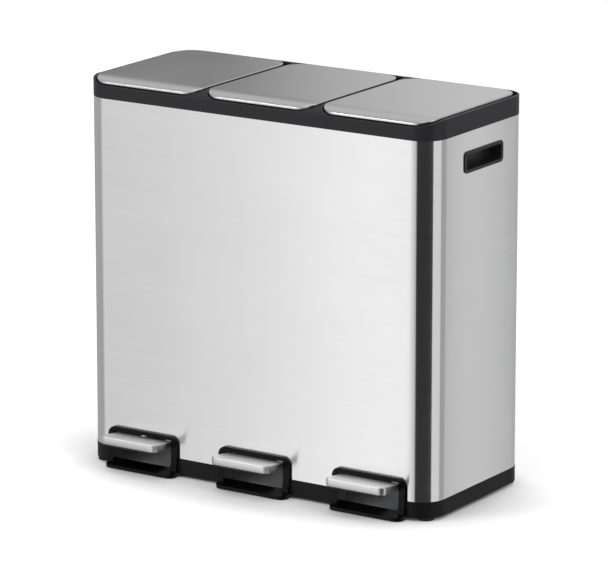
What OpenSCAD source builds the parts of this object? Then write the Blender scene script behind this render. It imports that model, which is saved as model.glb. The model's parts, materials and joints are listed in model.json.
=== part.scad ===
// Three-compartment pedal bin: one steel sleeve, three hinged lids, three pedals that lift
// them through push rods, and three buckets that stand on a deck over the base ring.
// X runs along the width, -Y is the pedal side and +Z is up. The origin is on the floor, at
// the centre of the whole outline, pedals included.

/* [Body] */
// Overall width
body_w = 590; // [480:1:720]
// Overall depth, without the pedals
body_d = 258; // [215:1:320]
// Radius of the four upright corners
corner_r = 37; // [30:0.1:45]
// Height of the steel sleeve
sleeve_h = 516.5; // [400:0.5:640]
// Thickness of the sleeve's sheet
sheet_t = 0.8; // [0.5:0.1:1.2]
// How far the sheet sits inside the plastic base and collar
sheet_inset = 0.5; // [0.2:0.1:1]

/* [Base] */
// Height of the feet under the base
foot_h = 5; // [3:0.5:8]
// Radius of a foot
foot_r = 12; // [9:0.5:14]
// Height of the base that shows below the sleeve
base_h = 23; // [18:0.5:30]
// Wall of the base and of the collar
wall_t = 3; // [2:0.1:4]
// Thickness of the deck that the buckets stand on
deck_t = 3; // [2:0.1:4]
// Space between the deck and the end of a fully raised lever
deck_gap = 5; // [2:0.5:12]

/* [Collar] */
// Height of the collar above the sleeve, at the sides and back
collar_h = 27.5; // [25:0.5:34]
// Height of the collar above the sleeve, at the front
collar_front_h = 18; // [15:0.5:22]
// Depth of the skirt that fits inside the sleeve
skirt_h = 24; // [15:1:40]
// Length over which the collar and the lids bend down at the front
bend_len = 37; // [25:1:50]

/* [Lids] */
// Edge of the collar that shows beside the lids
rim_margin = 8; // [6.5:0.1:12]
// Edge of the collar that shows in front of the lids
rim_front = 4; // [3.3:0.1:8]
// Edge of the collar that shows behind the lids
rim_back = 10.5; // [8.7:0.1:14]
// Gap between two lids
lid_gap = 8; // [6:0.5:12]
// Height of a lid's face above the collar
lid_proud = 2.3; // [1:0.1:2.5]
// Thickness of the lid's steel skin
skin_t = 0.8; // [0.5:0.1:1.2]
// Depth of the skin's turned-down edge
hem_h = 3; // [2:0.5:4]
// Drop of the lid's face at its front edge
lid_drop = 5.8; // [3:0.1:6.5]
// Full opening angle of a lid, in degrees
lid_open = 76; // [60:1:80]
// Radius of the hinge pin
hinge_pin_r = 2.5; // [2:0.1:2.5]

/* [Pedals] */
// Width of a pedal
pedal_w = 98; // [80:0.2:120]
// How far a pedal reaches in front of the body
pedal_out = 43; // [35:1:55]
// Height of the pedal's front edge
pedal_z = 55.5; // [50:0.5:67]
// Depth of the pedal cap's turned-down edge
pedal_lip = 11.5; // [8:0.5:12]
// Rise of the pedal's face from the body to its front edge
pedal_rise = 5; // [2:0.5:5]
// Thickness of the pedal cap's sheet
cap_t = 1.2; // [0.8:0.1:2]
// Corner radius of the pedal
pedal_r = 9; // [5:0.5:14]
// Full travel of a pedal, in degrees
pedal_press = 9.5; // [6:0.1:11.5]
// Distance from the pedal's axle back to the push rod
rear_arm = 133; // [110:0.5:160]
// Width of the pedal's lever
lever_w = 36; // [28:1:40]
// Thickness of the lever's steel
lever_t = 3; // [2:0.1:3]
// Radius of the pedal's axle
axle_r = 3; // [2.5:0.1:3.5]

/* [Pedal surrounds] */
// Width of the surround on each side of its opening
surround_leg = 10; // [8:0.5:14]
// Height of the surround above its opening
surround_bar = 6; // [5:0.5:10]
// Space between the pedal's face and the top of the surround's opening
pedal_gap = 3.5; // [1.5:0.5:6]
// Radius of the surround's upper corners
surround_r = 12; // [8:0.5:16]
// How far the surround stands in front of the body
surround_t = 4; // [3:0.5:6]
// How far the surround's floor reaches in front of the body
floor_out = 18.5; // [14:0.5:24]

/* [Carry handles] */
// Length of a carry handle's flange
handle_w = 104; // [90:1:120]
// Height of a carry handle's flange
handle_h = 31; // [26:1:36]
// Distance from the sleeve's top edge to the flange's middle
handle_drop = 43; // [38:1:70]
// Distance of the handle behind the middle of the side
handle_back = 6; // [0:1:12]
// Depth of the handle's pocket
pocket_d = 18; // [12:0.1:22]

/* [Buckets] */
// Wall of a bucket
bucket_t = 1.8; // [1.2:0.1:3]
// Height of the bucket's rim below the collar's ledge
bucket_drop = 10; // [4:1:30]
// Draft of the bucket's walls from top to bottom, on each side
bucket_draft = 6; // [2:0.5:10]

/* [Linkage] */
// Radius of a push rod
rod_r = 2.5; // [2:0.1:3]
// Distance from the body's back face to the lids' hinge pins
hinge_inset = 19; // [18.5:0.5:24]
// Radius of a damper's tube
damper_r = 7; // [6.5:0.1:8]
// Length of a damper's tube
damper_h = 77; // [65:1:90]

/* [Hidden] */
$fn = 64;

SIDES = ["left", "middle", "right"];
NODES = [
    "outer_sleeve", "base_ring", "deck_panel", "rubber_feet", "top_collar",
    "carry_handle_left", "carry_handle_right", "surround_screws", "blind_rivets",
    for (part = ["pedal_surround", "bucket", "lid_skin", "lid_liner", "lid_bumpers", "hinge_pin",
                 "pedal_cap", "pedal_pad", "pedal_lever", "pedal_rivets", "pedal_bracket",
                 "pedal_axle", "push_rod", "rod_tips", "rod_guides", "damper_tube",
                 "damper_plunger"])
        for (side = SIDES) str(part, "_", side)
];
node = "all";

plastic = [0.13, 0.13, 0.14];
steel = [0.78, 0.78, 0.79];
lid_steel = [0.60, 0.60, 0.61];
rubber = [0.08, 0.08, 0.08];
bucket_grey = [0.22, 0.22, 0.23];
zinc = [0.70, 0.71, 0.73];

// Clearances: parts that rest face to face, a shaft that turns or slides, and a fixed pin.
fit = 0.3;
running = 0.08;
fixed = 0.02;
eps = 1;

// Levels, from the floor up
base_top = foot_h + base_h;
sleeve_top = base_top + sleeve_h;
collar_top = sleeve_top + collar_h;
collar_front = sleeve_top + collar_front_h;
lid_top = collar_top + lid_proud;
ledge_t = 4;
ledge_z = collar_top - 10;
trough_z = ledge_z - 11;
ledge_w = 7;
shelf_t = 4;
web_t = 2;
liner_bottom = ledge_z + 2;
liner_t = 2.4;

// Plan of the body, about its own centre
half_w = body_w / 2;
half_d = body_d / 2;
body_y = pedal_out / 2;
sleeve_face = half_d - sheet_inset;
sleeve_back = sleeve_face - sheet_t;
inner_gap = sheet_inset + sheet_t + fit;
liner_wall = 2.5;

// Lids and their wells
lid_w = (body_w - 2 * rim_margin - 2 * lid_gap) / 3;
lid_pitch = lid_w + lid_gap;
lid_front = -half_d + rim_front;
lid_back = half_d - rim_back;
lid_d = lid_back - lid_front;
lid_y = (lid_front + lid_back) / 2;
lid_r = corner_r - rim_margin;
well_gap = 1.5;
rear_wall = rim_back - 4;
corner_wall = 2.6;
well_w = lid_w + 2 * well_gap;
bend_y = -half_d + bend_len;

// Pedal: its face slopes down to the body, and its pad stands on the lever
pedal_back = -half_d + 5;
pedal_front = -half_d - pedal_out;
pad_t = 8.4;
lever_top = pedal_face(pedal_back) - pad_t;
pivot_z = lever_top - 9.5;
ear_t = 2.5;
ear_r = 6;
lever_gap = 1;
bracket_t = 2;
bracket_rivet_y = 10;

// Linkage: the rod rises as the lever turns, and the lid's finger swings evenly about level
rod_travel = rear_arm * tan(pedal_press);
hinge_z = collar_top - 5;
hinge_y = half_d - hinge_inset;
rod_y = hinge_y - rod_travel / (2 * tan(lid_open / 2));
pivot_y = rod_y - rear_arm;
finger_z = hinge_z - rod_travel / 2;
finger_r = 3;
finger_w = 10;
tip_gap = 0.7;
foot_gap = 0.6;
tip_r = 7;
tip_t = 4;
slot_half = tip_r + 2;
dome_r = 6;
lever_back = rod_y + 5;
rod_bottom = lever_top + foot_gap + dome_r;
rod_top = finger_z - finger_r - tip_gap - tip_t / 2;
knuckle_r = 5;
boss_w = 8;
boss_x = 60;
pin_half = 75;

// The deck lies above the raised end of the levers
deck_z = pivot_z + (lever_top - pivot_z) * cos(pedal_press)
    + (lever_back - pivot_y) * sin(pedal_press) + deck_gap + deck_t;

// Buckets, between the collar's front wall and the rods, and clear of the carry handles
rim_flange = 6;
pocket_gap = 2.5;
bucket_rim_w = min(lid_w - 2 * ledge_w,
    2 * (half_w - sheet_inset - pocket_d - pocket_gap - lid_pitch + rim_flange));
mouth_gap = 2;
mouth_front = -half_d + 10;
mouth_back = rod_y - 10;
bucket_y = (mouth_front + mouth_back) / 2;
bucket_rim_d = mouth_back - mouth_front - 2 * mouth_gap;
bucket_top = ledge_z - ledge_t - bucket_drop;
bucket_floor = deck_z + fit;
bucket_r = 22;
rim_h = 3.5;
rim_r = 24;
grip_w = 84;
grip_h = 22;
grip_drop = 30;

// Pedal surround, and the notch for it in the front wall
side_gap = 1.5;
opening_w = pedal_w + 2 * side_gap;
tunnel_t = 2;
opening_top = pedal_face(-half_d) + pedal_gap;
surround_w = opening_w + 2 * surround_leg;
surround_z = opening_top + surround_bar;
notch_w = opening_w + 2 * tunnel_t + 1;
notch_top = opening_top + tunnel_t + 0.7;
surround_floor = 1;
floor_t = 5;
tunnel_back = -half_d + 17;
screw_x = surround_w / 2 - 3.8;
screw_z = base_top - 11;
screw_in = 2;
screw_r = 1.5;

// Carry handles
handle_z = sleeve_top - handle_drop;
handle_r = 7;
flange_t = 1.5;
pocket_w = handle_w - 10;
pocket_h = handle_h - 9;

// Push-rod guides and dampers
guide_levels = [deck_z + 180, sleeve_top - 48];
guide_h = 12;
guide_w = 30;
guide_plate_t = 3;
rivet_x = 10;
rivet_r = 1.9;
rivet_gap = 0.1;
damper_x = 28;
damper_y = rod_y + 5;
arm_z = deck_z + damper_h + 16;
arm_t = 6;
piston_z = deck_z + 24;
tube_wall = 1.5;
plunger_r = 2;
plug_h = 7;
plug_r = 4;
foot_in = 20;
feet = [for (sx = [-1, 1], sy = [-1, 1]) [sx * (half_w - foot_in), sy * (half_d - foot_in)]];

function side_x(i) = (i - 1) * lid_pitch;

function pedal_face(y) = pedal_z - pedal_rise * (y - pedal_front) / pedal_out;

// A drop from one level to a lower one over a length, as an arc that starts level
function bend_r(len, drop) = (len * len + drop * drop) / (2 * drop);
function bend_arc(len, drop, steps = 10) =
    let (r = bend_r(len, drop), full = asin(len / r))
    [for (i = [0:steps]) [-r * sin(full * i / steps), r * cos(full * i / steps) - r]];

module rounded(w, d, r) {
    square([w - 2 * r, d], center = true);
    square([w, d - 2 * r], center = true);
    for (sx = [-1, 1], sy = [-1, 1])
        translate([sx * (w / 2 - r), sy * (d / 2 - r)])
            circle(r);
}

// A slab of the body's rounded plan, drawn in by an inset
module plan_slab(inset, z0, z1) {
    translate([0, 0, z0])
        linear_extrude(z1 - z0)
            rounded(body_w - 2 * inset, body_d - 2 * inset, corner_r - inset);
}

module plan_ring(inset, wall, z0, z1) {
    difference() {
        plan_slab(inset, z0, z1);
        plan_slab(inset + wall, z0 - eps, z1 + eps);
    }
}

module block(x0, x1, y0, y1, z0, z1) {
    translate([x0, y0, z0])
        cube([x1 - x0, y1 - y0, z1 - z0]);
}

// A bar that runs along X, centred on x, from a profile drawn in Y and Z
module bar_x(x, w) {
    translate([x - w / 2, 0, 0])
        rotate([90, 0, 90])
            linear_extrude(w)
                children();
}

module rod_x(x0, x1, y, z, r) {
    translate([x0, y, z])
        rotate([0, 90, 0])
            cylinder(h = x1 - x0, r = r);
}

module rod_z(x, y, z0, z1, r) {
    translate([x, y, z0])
        cylinder(h = z1 - z0, r = r);
}

// Y-Z profile of everything below a face that is level and then bends down at the front
module bent_profile(face_z, drop, floor_z, front_y) {
    polygon(concat(
        [[half_d + eps, floor_z], [half_d + eps, face_z]],
        [for (p = bend_arc(bend_y - front_y, drop)) [bend_y + p[0], face_z + p[1]]],
        [[front_y - eps, face_z - drop], [front_y - eps, floor_z]]
    ));
}

// ---------------------------------------------------------------- fixed shell

module outer_sleeve() {
    color(steel)
        difference() {
            plan_ring(sheet_inset, sheet_t, base_top, sleeve_top);
            for (i = [0:2])
                block(side_x(i) - notch_w / 2, side_x(i) + notch_w / 2,
                      -half_d - eps, -half_d + corner_r / 2, base_top - eps, notch_top);
            translate([0, handle_back, handle_z])
                rotate([90, 0, 90])
                    linear_extrude(body_w + 2 * eps, center = true)
                        rounded(pocket_w + 5, pocket_h + 5, 5);
            guide_rivet_holes();
        }
}

module guide_rivet_holes() {
    for (i = [0:2], z = guide_levels, sx = [-1, 1])
        translate([side_x(i) + sx * rivet_x, sleeve_back - guide_plate_t - eps, z])
            rotate([-90, 0, 0])
                cylinder(h = guide_plate_t + sheet_t + 2 * eps, r = rivet_r + rivet_gap);
}

module bracket_rivet_holes() {
    for (i = [0:2], sy = [-1, 1])
        rod_z(side_x(i), pivot_y + sy * bracket_rivet_y, deck_z - deck_t - bracket_t - eps,
              deck_z + eps, rivet_r + rivet_gap);
}

// The visible ring, with a skirt inside the sleeve that carries the deck
module base_ring() {
    color(plastic)
        difference() {
            union() {
                plan_ring(0, wall_t, foot_h, base_top);
                plan_ring(inner_gap, liner_wall, base_top - 8, deck_z - deck_t);
                intersection() {
                    plan_slab(wall_t / 2, foot_h, base_top - 8);
                    for (p = feet)
                        rod_z(p[0], p[1], foot_h, base_top - 8, foot_r + 2);
                }
            }
            for (i = [0:2])
                block(side_x(i) - notch_w / 2, side_x(i) + notch_w / 2,
                      -half_d - eps, -half_d + 12, -eps, notch_top);
            for (p = feet)
                rod_z(p[0], p[1], foot_h - eps, foot_h + plug_h + eps, plug_r + fixed);
            surround_screw_holes();
        }
}

module deck_panel() {
    color(plastic)
        difference() {
            plan_slab(inner_gap, deck_z - deck_t, deck_z);
            for (i = [0:2])
                rod_z(side_x(i), rod_y, deck_z - deck_t - eps, deck_z + eps, tip_r + 1);
            bracket_rivet_holes();
        }
}

// A folded bracket under the deck, with an ear on each side of the lever
module pedal_bracket(i) {
    inner = lever_w / 2 + lever_gap;
    top = deck_z - deck_t;
    color(zinc)
        difference() {
            translate([side_x(i), 0, 0]) {
                block(-inner - bracket_t, inner + bracket_t, pivot_y - 15, pivot_y + 15,
                      top - bracket_t, top);
                for (sx = [-1, 1])
                    bar_x(sx * (inner + bracket_t / 2), bracket_t) {
                        translate([pivot_y - 15, pivot_z + 15])
                            square([30, top - pivot_z - 15]);
                        polygon([[pivot_y - 15, pivot_z + 16], [pivot_y - ear_r, pivot_z],
                                 [pivot_y + ear_r, pivot_z], [pivot_y + 15, pivot_z + 16]]);
                        translate([pivot_y, pivot_z])
                            circle(ear_r);
                    }
            }
            rod_x(side_x(i) - lever_w, side_x(i) + lever_w, pivot_y, pivot_z, axle_r + fixed);
            bracket_rivet_holes();
        }
}

module rubber_feet() {
    color(rubber)
        for (p = feet) {
            rod_z(p[0], p[1], 0, foot_h, foot_r);
            rod_z(p[0], p[1], foot_h - eps, foot_h + plug_h, plug_r);
        }
}

// The shallow well that a lid closes into
module lid_well(x) {
    translate([x, lid_y, ledge_z])
        linear_extrude(collar_h)
            rounded(well_w, lid_d + 2 * well_gap, lid_r + well_gap);
}

// The deep pocket behind a bucket, where the lid's back edge turns and the rod comes up
module hinge_pocket(x) {
    intersection() {
        block(x - well_w / 2, x + well_w / 2, mouth_back, half_d - rear_wall,
              trough_z, collar_top + eps);
        plan_slab(corner_wall, trough_z - eps, collar_top + 2 * eps);
    }
}

module mouth(x) {
    translate([x, bucket_y, trough_z - 20])
        linear_extrude(40)
            rounded(bucket_rim_w + 2 * mouth_gap, mouth_back - mouth_front, bucket_r + mouth_gap);
}

module hinge_boss(x) {
    bar_x(x, boss_w) {
        translate([hinge_y, hinge_z])
            circle(knuckle_r);
        translate([hinge_y - 4, trough_z - 1])
            square([7.5, hinge_z - trough_z + 1]);
    }
}

module top_collar() {
    color(plastic)
        difference() {
            union() {
                difference() {
                    plan_slab(0, sleeve_top, collar_top);
                    plan_slab(wall_t, sleeve_top - eps, ledge_z - ledge_t);
                    for (i = [0:2]) {
                        lid_well(side_x(i));
                        hinge_pocket(side_x(i));
                    }
                }
                plan_ring(inner_gap, liner_wall, sleeve_top - skirt_h, sleeve_top + 4);
                intersection() {
                    plan_slab(wall_t - eps, trough_z - shelf_t, trough_z);
                    block(-half_w, half_w, mouth_back - web_t, half_d, 0, collar_top);
                }
                block(-half_w + web_t, half_w - web_t, mouth_back - web_t, mouth_back,
                      trough_z - shelf_t, ledge_z);
                for (i = [0:2], sx = [-1, 1])
                    hinge_boss(side_x(i) + sx * boss_x);
            }
            for (i = [0:2]) {
                mouth(side_x(i));
                block(side_x(i) - slot_half, side_x(i) + slot_half, rod_y - slot_half, rod_y + slot_half,
                      trough_z - 10, ledge_z);
                rod_x(side_x(i) - pin_half, side_x(i) + pin_half, hinge_y, hinge_z,
                      hinge_pin_r + fixed);
            }
            bar_x(0, body_w + 2 * eps)
                difference() {
                    translate([-half_d - eps, collar_front - 2])
                        square([bend_len + eps, collar_h]);
                    bent_profile(collar_top, collar_h - collar_front_h, collar_front - 10, -half_d);
                }
        }
}

module hinge_pin(i) {
    color(zinc)
        rod_x(side_x(i) - pin_half + eps, side_x(i) + pin_half - eps, hinge_y, hinge_z, hinge_pin_r);
}

// ---------------------------------------------------------------- carry handles

module carry_handle(side) {
    outer_x = half_w - sheet_inset;
    color(plastic)
        mirror([side < 0 ? 1 : 0, 0, 0])
            translate([outer_x, handle_back, handle_z])
                rotate([90, 0, 90])
                    difference() {
                        union() {
                            linear_extrude(flange_t)
                                rounded(handle_w, handle_h, handle_r);
                            translate([0, 0, -pocket_d])
                                linear_extrude(pocket_d + eps / 2)
                                    rounded(pocket_w + 4, pocket_h + 4, 5);
                        }
                        translate([0, 0, -pocket_d + 2])
                            linear_extrude(pocket_d + flange_t)
                                rounded(pocket_w, pocket_h, 4);
                    }
}

// ---------------------------------------------------------------- pedal surrounds

module pedal_surround(i) {
    color(plastic)
        translate([side_x(i), 0, 0])
            difference() {
                union() {
                    surround_frame();
                    surround_tunnel();
                    surround_cheeks();
                    surround_plate();
                }
                block(-opening_w / 2, opening_w / 2, -half_d - floor_out - eps, tunnel_back + eps,
                      surround_floor + floor_t, opening_top);
                translate([-side_x(i), 0, 0])
                    surround_screw_holes();
            }
}

// The arch that lies on the front face
module surround_frame() {
    translate([0, -half_d, 0])
        rotate([90, 0, 0])
            linear_extrude(surround_t)
                intersection() {
                    translate([0, surround_floor])
                        translate([-surround_w / 2, 0])
                            square([surround_w, surround_z - surround_floor]);
                    translate([0, surround_z - surround_w / 2])
                        rounded(surround_w, surround_w, surround_r);
                }
}

module surround_tunnel() {
    block(-opening_w / 2 - tunnel_t, opening_w / 2 + tunnel_t, -half_d - eps, tunnel_back,
          surround_floor, opening_top + tunnel_t);
}

// The two sides, swept forward to the floor by a hollow curve
module surround_cheeks() {
    sweep_r = floor_out - surround_t;
    cheek = (surround_w - opening_w) / 2;
    for (sx = [-1, 1])
        bar_x(sx * (surround_w - cheek) / 2, cheek)
            difference() {
                translate([-half_d - floor_out + surround_r, surround_floor])
                    square([floor_out - surround_r, surround_floor + floor_t + sweep_r]);
                translate([-half_d - floor_out, surround_floor + floor_t + 2 + sweep_r])
                    circle(sweep_r);
            }
}

module surround_plate() {
    plate_d = floor_out + 17;
    translate([0, -half_d - floor_out + plate_d / 2, surround_floor])
        linear_extrude(floor_t)
            intersection() {
                rounded(surround_w, plate_d, surround_r);
                translate([-surround_w / 2, -plate_d / 2])
                    square([surround_w, floor_out + 0.001]);
            }
}

// Screws through the base ring into the surround's back, two to a pedal
module surround_screw_holes() {
    for (i = [0:2], sx = [-1, 1])
        translate([side_x(i) + sx * screw_x, -half_d - screw_in, screw_z])
            rotate([-90, 0, 0]) {
                cylinder(h = screw_in + wall_t + eps, r = screw_r + fixed);
                translate([0, 0, screw_in + wall_t])
                    cylinder(h = 12, r = 2 * screw_r + fit);
            }
}

module surround_screws() {
    color(zinc)
        for (i = [0:2], sx = [-1, 1])
            translate([side_x(i) + sx * screw_x, -half_d - screw_in, screw_z])
                rotate([-90, 0, 0]) {
                    cylinder(h = screw_in + wall_t, r = screw_r);
                    translate([0, 0, screw_in + wall_t])
                        cylinder(h = 1.8, r = 2 * screw_r);
                }
}

// ---------------------------------------------------------------- buckets

module bucket_shell(w, d, r, z0, z1, inset) {
    draft = bucket_draft;
    hull() {
        translate([0, 0, z1 - 0.01])
            linear_extrude(0.01)
                rounded(w - 2 * inset, d - 2 * inset, r - inset, $fn = 32);
        translate([0, 0, z0])
            linear_extrude(0.01)
                rounded(w - 2 * draft - 2 * inset, d - 2 * draft - 2 * inset, r - inset, $fn = 32);
    }
}

module bucket(i) {
    shell_w = bucket_rim_w - 2 * rim_flange;
    shell_d = bucket_rim_d - 2 * rim_flange;
    color(bucket_grey)
        translate([side_x(i), bucket_y, 0])
            difference() {
                union() {
                    bucket_shell(shell_w, shell_d, bucket_r, bucket_floor, bucket_top, 0);
                    translate([0, 0, bucket_top - rim_h])
                        linear_extrude(rim_h)
                            rounded(bucket_rim_w, bucket_rim_d, rim_r);
                }
                bucket_shell(shell_w, shell_d, bucket_r, bucket_floor + bucket_t,
                             bucket_top + eps, bucket_t);
                bucket_grips();
            }
}

// Hand holes under the rim on two sides
module bucket_grips() {
    translate([0, 0, bucket_top - grip_drop])
        rotate([90, 0, 90])
            linear_extrude(lid_w, center = true)
                rounded(grip_w, grip_h, 10);
}

// ---------------------------------------------------------------- lids

module lid_plan(x, inset, z0, z1) {
    translate([x, lid_y, z0])
        linear_extrude(z1 - z0)
            rounded(lid_w - 2 * inset, lid_d - 2 * inset, lid_r - inset);
}

module under_face(x, below, floor_z) {
    bar_x(x, lid_w + 2 * eps)
        bent_profile(lid_top - below, lid_drop, floor_z, lid_front);
}

module lid_skin(i) {
    x = side_x(i);
    color(lid_steel)
        difference() {
            intersection() {
                lid_plan(x, 0, ledge_z, lid_top + eps);
                under_face(x, 0, ledge_z);
            }
            intersection() {
                lid_plan(x, skin_t, ledge_z - eps, lid_top + eps);
                under_face(x, skin_t, ledge_z - eps);
            }
            under_face(x, hem_h, ledge_z - eps);
        }
}

module lid_liner(i) {
    x = side_x(i);
    color(plastic)
        difference() {
            union() {
                intersection() {
                    lid_plan(x, skin_t + fit, liner_bottom, lid_top);
                    under_face(x, skin_t + 0.2, liner_bottom - eps);
                }
                rod_x(x - pin_half + eps, x + pin_half - eps, hinge_y, hinge_z, knuckle_r);
                lid_finger(x);
            }
            intersection() {
                translate([x, (lid_front + rod_y) / 2, liner_bottom - eps])
                    linear_extrude(collar_h)
                        rounded(lid_w - 16, rod_y - lid_front - 26, lid_r - 8);
                under_face(x, skin_t + 0.2 + liner_t, liner_bottom - 2 * eps);
            }
            rod_x(x - pin_half, x + pin_half, hinge_y, hinge_z, hinge_pin_r + running);
            for (sx = [-1, 1])
                block(x + sx * boss_x - boss_w / 2 - 0.4, x + sx * boss_x + boss_w / 2 + 0.4,
                      hinge_y - 9.3, lid_back + eps, liner_bottom - 10, lid_top);
        }
}

// The finger that the push rod lifts
module lid_finger(x) {
    bar_x(x, finger_w) {
        polygon([
            [rod_y - 6, liner_bottom + eps],
            [rod_y + 6, liner_bottom + eps],
            [rod_y + finger_r, finger_z],
            [rod_y - finger_r, finger_z]
        ]);
        translate([rod_y, finger_z])
            circle(finger_r);
    }
}

module lid_bumpers(i) {
    color(rubber)
        for (sx = [-1, 1])
            rod_z(side_x(i) + sx * (lid_w / 2 - lid_r), lid_front + 3.2, ledge_z + 0.2,
                  liner_bottom, 1.9);
}

// ---------------------------------------------------------------- pedals


// Y-Z profile of the pedal between two depths below its face
module pedal_profile(below, floor_below) {
    polygon([
        [pedal_front - eps, pedal_face(pedal_front - eps) - below],
        [pedal_back + eps, pedal_face(pedal_back + eps) - below],
        [pedal_back + eps, pedal_face(pedal_back + eps) - floor_below],
        [pedal_front - eps, pedal_face(pedal_front - eps) - floor_below]
    ]);
}

// Pedal plan: round corners in front, square at the back
module pedal_plan(inset) {
    depth = pedal_back - pedal_front;
    translate([-pedal_w / 2 + inset, pedal_front + pedal_r])
        square([pedal_w - 2 * inset, depth - pedal_r]);
    translate([0, pedal_front + depth / 2])
        rounded(pedal_w - 2 * inset, depth - 2 * inset, pedal_r - inset);
}

module pedal_cap(i) {
    color(steel)
        translate([side_x(i), 0, 0])
            difference() {
                intersection() {
                    translate([0, 0, lever_top - 10])
                        linear_extrude(30)
                            pedal_plan(0);
                    bar_x(0, pedal_w + 2)
                        pedal_profile(0, pedal_lip);
                }
                intersection() {
                    translate([0, 0, lever_top - 10])
                        linear_extrude(30)
                            pedal_plan(cap_t);
                    bar_x(0, pedal_w + 2)
                        pedal_profile(cap_t, pedal_lip + 10);
                }
            }
}

module pedal_pad(i) {
    inset = cap_t + 0.1;
    color(plastic)
        translate([side_x(i), 0, 0])
            difference() {
                intersection() {
                    translate([0, 0, lever_top])
                        linear_extrude(20)
                            pedal_plan(inset);
                    bar_x(0, pedal_w)
                        pedal_profile(inset, pedal_lip + 10);
                    block(-pedal_w / 2, pedal_w / 2, pedal_front, pedal_back - inset, 0, pedal_z);
                }
                pedal_rivet_bodies(fixed);
            }
}

module pedal_rivet_bodies(extra) {
    for (sx = [-1, 1])
        rod_z(sx * 10, pedal_back - 27, lever_top - lever_t - eps, lever_top + 4, 2 + extra);
}

module pedal_rivets(i) {
    color(zinc)
        translate([side_x(i), 0, 0])
            intersection() {
                union() {
                    pedal_rivet_bodies(0);
                    for (sx = [-1, 1])
                        rod_z(sx * 10, pedal_back - 27, lever_top - lever_t - 1.5,
                              lever_top - lever_t, 4);
                }
                block(-20, 20, pedal_front, pedal_back, 0, lever_top + 4);
            }
}

module pedal_lever(i) {
    half = lever_w / 2;
    color(zinc)
        translate([side_x(i), 0, 0])
            difference() {
                union() {
                    block(-half, half, pedal_front + 12, lever_back, lever_top - lever_t, lever_top);
                    for (sx = [-1, 1])
                        bar_x(sx * (half - ear_t / 2), ear_t)
                            lever_side();
                }
                rod_x(-half - eps, half + eps, pivot_y, pivot_z, axle_r + running);
                pedal_rivet_bodies(fixed);
            }
}

// The lever's folded side: a shallow flange that deepens into an ear round the axle
module lever_side() {
    mid = lever_top - lever_t / 2;
    edge = lever_top - lever_t - 4;
    polygon([
        [pedal_back + 8, mid], [pedal_back + 8, edge],
        [pivot_y - 22, edge], [pivot_y - ear_r, pivot_z],
        [pivot_y + ear_r, pivot_z], [pivot_y + 22, edge],
        [lever_back - 15, edge], [lever_back, lever_top - lever_t],
        [lever_back, mid]
    ]);
    translate([pivot_y, pivot_z])
        circle(ear_r);
}

module pedal_axle(i) {
    half = lever_w / 2 + lever_gap + bracket_t + 1.5;
    color(zinc)
        rod_x(side_x(i) - half, side_x(i) + half, pivot_y, pivot_z, axle_r);
}

// ---------------------------------------------------------------- push rods

module push_rod(i) {
    color(zinc)
        rod_z(side_x(i), rod_y, rod_bottom, rod_top, rod_r);
}

module rod_tips(i) {
    color(plastic)
        translate([side_x(i), rod_y, 0])
            difference() {
                union() {
                    translate([0, 0, rod_bottom])
                        sphere(dome_r);
                    rod_z(0, 0, rod_bottom, rod_bottom + 10, dome_r);
                    rod_z(0, 0, rod_top - tip_t / 2, rod_top + tip_t / 2, tip_r);
                    rod_z(0, 0, rod_top - 12, rod_top, rod_r + 2);
                }
                rod_z(0, 0, rod_bottom, rod_top, rod_r + fixed);
            }
}

// Brackets riveted to the back of the sleeve: a plate, a web and a bushed eye
module rod_guides(i) {
    x = side_x(i);
    color(plastic)
        difference() {
            for (z = guide_levels) {
                z0 = z - guide_h / 2;
                z1 = z + guide_h / 2;
                block(x - guide_w / 2, x + guide_w / 2, sleeve_back - guide_plate_t, sleeve_back, z0, z1);
                block(x - 4, x + 4, rod_y, sleeve_back - eps, z0, z1);
                rod_z(x, rod_y, z0, z1, rod_r + 3.5);
            }
            rod_z(x, rod_y, 0, sleeve_top, rod_r + running);
            guide_rivet_holes();
        }
}

module rivet(grip, head_h) {
    translate([0, 0, -grip])
        cylinder(h = grip, r = rivet_r);
    cylinder(h = head_h, r = 2 * rivet_r);
}

module blind_rivets() {
    color(zinc) {
        for (i = [0:2], z = guide_levels, sx = [-1, 1])
            translate([side_x(i) + sx * rivet_x, sleeve_face, z])
                rotate([-90, 0, 0])
                    rivet(sheet_t + guide_plate_t, sheet_inset);
        for (i = [0:2], sy = [-1, 1])
            translate([side_x(i), pivot_y + sy * bracket_rivet_y, deck_z - deck_t - bracket_t])
                rotate([180, 0, 0])
                    rivet(deck_t + bracket_t, 1.5);
    }
}

module damper_tube(i) {
    x = side_x(i) + damper_x;
    color(zinc)
        difference() {
            union() {
                rod_z(x, damper_y, deck_z, deck_z + damper_h, damper_r);
                rod_z(x, damper_y, deck_z, deck_z + 3, damper_r + 3);
            }
            rod_z(x, damper_y, deck_z + 4, deck_z + damper_h - 5, damper_r - tube_wall);
            rod_z(x, damper_y, deck_z + 10, deck_z + damper_h + eps, plunger_r + running);
        }
}

module damper_plunger(i) {
    x = side_x(i);
    color(zinc)
        difference() {
            union() {
                rod_z(x + damper_x, damper_y, piston_z, arm_z + eps, plunger_r);
                rod_z(x + damper_x, damper_y, piston_z, piston_z + 5, damper_r - tube_wall - 0.1);
                block(x - 7, x + damper_x + 5, rod_y - 6, rod_y + 10, arm_z, arm_z + arm_t);
            }
            rod_z(x, rod_y, arm_z - eps, arm_z + arm_t + eps, rod_r + fixed);
        }
}

// ---------------------------------------------------------------- assembly

function shown(name) = node == "all" || node == name;

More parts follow.
